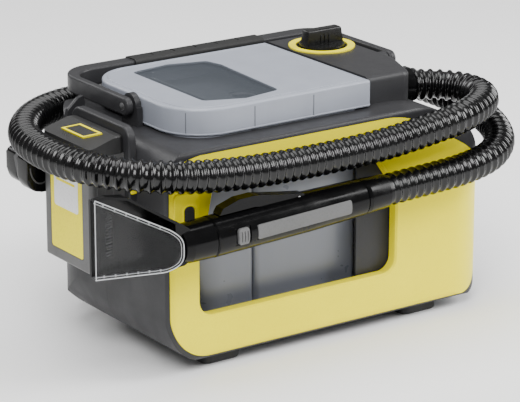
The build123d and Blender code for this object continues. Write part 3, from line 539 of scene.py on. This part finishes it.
def knob_details():
    """Three small ribs on each side of the wing knob's grip."""
    ribs = []
    for side in (-1, 1):
        for k in (-1, 0, 1):
            corners = [at(KNOB_X + 5 * k + a, KNOB_Y + side * KNOB_GRIP_HALF, z)
                       for a, z in rectangle(-0.8, 0.8, 253, 262)]
            ribs.append(prism("rib", corners, Vector((0, side * 0.9, 0)) * MM, 0.25))
    finish_piece(join("knob_ribs", ribs), material("black_knob"), "knob")


MOUTH_X, MOUTH_LOW, MOUTH_HIGH = -302, 135, 207
WAND_Y = -143
COVER_FRONT = -17.5
COVER_END_CORNERS = ((-220, 163), (-209, 153), (-209, 133), (-224, 127.5))
TOP_SLOPE, BOTTOM_SLOPE = -0.537, -0.096
LARGEST_CUT, CORNER_STEPS = 13, 6
PLATE_FRONT, PLATE_RISE = -10, 0.25
TREAD_LEFT, TREAD_RIGHT, TREAD_BARS = -284, -276, 13


def cover_line(grow):
    """The clear cover's edge as (x, z), from the mouth's top round the neck's end to its bottom."""
    corners = [(MOUTH_X, MOUTH_HIGH), *COVER_END_CORNERS, (MOUTH_X, MOUTH_LOW)]
    line = [Vector(c) for c in corners]
    moved = []
    for k, here in enumerate(line):
        before, after = line[max(k - 1, 0)], line[min(k + 1, len(line) - 1)]
        first = (here - before).normalized() if k else (after - here).normalized()
        second = (after - here).normalized() if k < len(line) - 1 else first
        out = (Vector((-first.y, first.x)) + Vector((-second.y, second.x))).normalized()
        moved.append(here + out * grow / max(out.dot(Vector((-first.y, first.x))), 0.5))
    rounded = [moved[0]]
    for before, here, after in zip(moved, moved[1:], moved[2:]):
        cut = min((here - before).length * 0.48, (after - here).length * 0.48, LARGEST_CUT)
        start = here + (before - here).normalized() * cut
        end = here + (after - here).normalized() * cut
        for k in range(CORNER_STEPS + 1):
            t = k / CORNER_STEPS
            rounded.append(start * (1 - t) ** 2 + here * 2 * t * (1 - t) + end * t ** 2)
    return rounded + [moved[-1]]


def nozzle_details():
    """Ticks and a rim on the clear cover, coloured light grey as painted highlights where its clear edges
    glint, and a block of raised bars on the channel's plate.
    """
    front = WAND_Y + COVER_FRONT
    ticks = []
    for k in range(6):
        x = -292 + 12 * k
        along = x - MOUTH_X
        for z in (MOUTH_HIGH + TOP_SLOPE * along - 0.6, MOUTH_LOW + BOTTOM_SLOPE * along + 0.6):
            corners = [at(x + a, front + 1.7, z + h) for a, h in rectangle(-0.5, 0.5, -1.2, 1.2)]
            ticks.append(prism("tick", corners, Vector((0, 1.4, 0)) * MM, 0.2))
    finish_piece(join("cover_tick_glints", ticks), material("rim_bright"), "nozzle")
    outer = [at(x, front + 0.4, z) for x, z in cover_line(1.4)]
    finish_piece(bead("cover_rim_glint", outer, 0.55), material("rim_bright"), "nozzle")
    inner = [at(x, front + 0.9, z) for x, z in cover_line(-0.9)]
    finish_piece(bead("cover_inner_rim_glint", inner, 0.3), material("rim_bright"), "nozzle")
    heights = (MOUTH_LOW - 1, (MOUTH_LOW + MOUTH_HIGH) / 2, MOUTH_HIGH + 1)
    lip = [at(MOUTH_X + 0.5, front + 0.4, z) for z in heights]
    finish_piece(bead("cover_lip_glint", lip, 0.5), material("rim_bright"), "nozzle")
    bars = []
    for k in range(TREAD_BARS):
        z = 149 + 2.9 * k
        corners = [at(x, WAND_Y + PLATE_FRONT + PLATE_RISE * (x - MOUTH_X) - 0.5, z + h)
                   for x, h in rectangle(TREAD_LEFT, TREAD_RIGHT, 0, 1.4)]
        bars.append(prism("bar", corners, Vector((0, 0.8, 0)) * MM, 0.2))
    finish_piece(join("nozzle_tread", bars), material("dark_deck"), "nozzle")


PANEL_FACE = -119.8


def parking_pocket():
    """Pocket with an arched notch at the panel's upper left, which takes the wand's hook; the notch's shaded
    inside is a thin dark sheet of painted shade.
    """
    plate = outline(-193, -164.5, 150, 183, (3, 3, 4, 4), 4)
    plate = [at(x, PANEL_FACE, z) for x, z in plate]
    body = prism("parking_plate", plate, Vector((0, -2.2, 0)) * MM, 0.8, 3)
    finish_piece(body, material("yellow_panel"), "housing")
    arch = outline(-183.5, -170, 146, 171, (0.5, 0.5, 6.5, 5), 6)
    # painted shade: a thin dark sheet on the plate's face stands for the shaded inside of the arched notch
    opening = [at(x, PANEL_FACE - 2.1, z) for x, z in arch]
    notch = prism("parking_notch_shade", opening, Vector((0, -0.35, 0)) * MM, 0.1)
    finish_piece(notch, material("dark_housing"), "housing")
    rim = bead("parking_rim", [at(x, PANEL_FACE - 2.5, z) for x, z in arch], 0.9, closed=True)
    finish_piece(rim, material("yellow_panel"), "housing")


def hose_cradle():
    """Two-lobed cradle under the hose on the battery side, with raised U-shaped ribs coloured lighter grey
    than the lobes as painted edge highlights.
    """
    lobes, ribs = [], []
    for y, x in ((76, -236), (48, -240)):
        profile = outline(x - 17, x + 18, 154, 190, (15, 12, 4, 4), 7)
        lobes.append(prism("lobe", [at(a, y - 10, z) for a, z in profile], Vector((0, 20, 0)) * MM, 2.2, 3))
        turns = [radians(t) for t in range(180, 361, 15)]
        arc = [at(x - 2 + 12 * cos(t), y - 10.3, 180 + 17 * sin(t)) for t in turns]
        ribs.append(bead("rib", arc, 0.8))
    finish_piece(join("hose_cradle", lobes), material("black_gloss"), "housing")
    # painted highlight: the ribs' lighter grey stands for light catching the cradle's edges
    finish_piece(join("cradle_rib_highlights", ribs), material("battery_grey"), "housing")


VENT_X, VENT_HALF, VENT_LOW, VENT_PITCH, VENT_SLOTS = 70, 34, 120, 11, 6


def rear_details():
    """Louvre blades in the rear vent's slots."""
    blades = []
    for row in range(VENT_SLOTS):
        z = VENT_LOW + VENT_PITCH * row
        corners = [at(x, HOUSING_HALF_DEPTH - 1, z + h)
                   for x, h in rectangle(VENT_X - VENT_HALF, VENT_X + VENT_HALF, -3, -1.6)]
        blades.append(prism("blade", corners, Vector((0, 2.4, 0.9)) * MM, 0.2))
    finish_piece(join("vent_blades", blades), material("dark_deck"), "housing")


lid_details()
battery_details()
knob_details()
nozzle_details()
parking_pocket()
hose_cradle()
rear_details()


# ---- stage ------------------------------------------------------------------------------
def add_area(name, place, target, size, power):
    """Soft rectangular light, facing a target."""
    data = bpy.data.lights.new(name, "AREA")
    data.shape = "RECTANGLE"
    data.size, data.size_y = size
    data.energy = power
    light = bpy.data.objects.new(name, data)
    light.location = place
    light.rotation_euler = (Vector(place) - Vector(target)).to_track_quat("Z", "Y").to_euler()
    bpy.context.scene.collection.objects.link(light)


def add_stage():
    """Plain pale floor and soft studio light."""
    bm = bmesh.new()
    bmesh.ops.create_grid(bm, x_segments=2, y_segments=2, size=12)
    floor = from_bmesh("floor", bm)
    s = Shader("floor_pale")
    s.set(base_color=(0.93, 0.93, 0.93, 1), roughness=0.9)
    floor.data.materials.append(s.material)
    centre = at(0, 0, 120)
    add_area("key", centre + Vector((-1.3, -1.6, 1.9)), centre, (1.4, 1.4), 84)
    add_area("right", centre + Vector((2.1, -1.2, 1.3)), centre, (1.2, 1.6), 84)
    add_area("top", centre + Vector((0, 0.3, 2.3)), centre, (2.4, 1.6), 58)
    add_area("back", centre + Vector((-0.8, 2.2, 1.4)), centre, (1.8, 1.0), 22)
    world = bpy.data.worlds.new("studio")
    world.use_nodes = True
    world.node_tree.nodes["Background"].inputs["Color"].default_value = (1, 1, 1, 1)
    world.node_tree.nodes["Background"].inputs["Strength"].default_value = 0.32
    bpy.context.scene.world = world


add_stage()
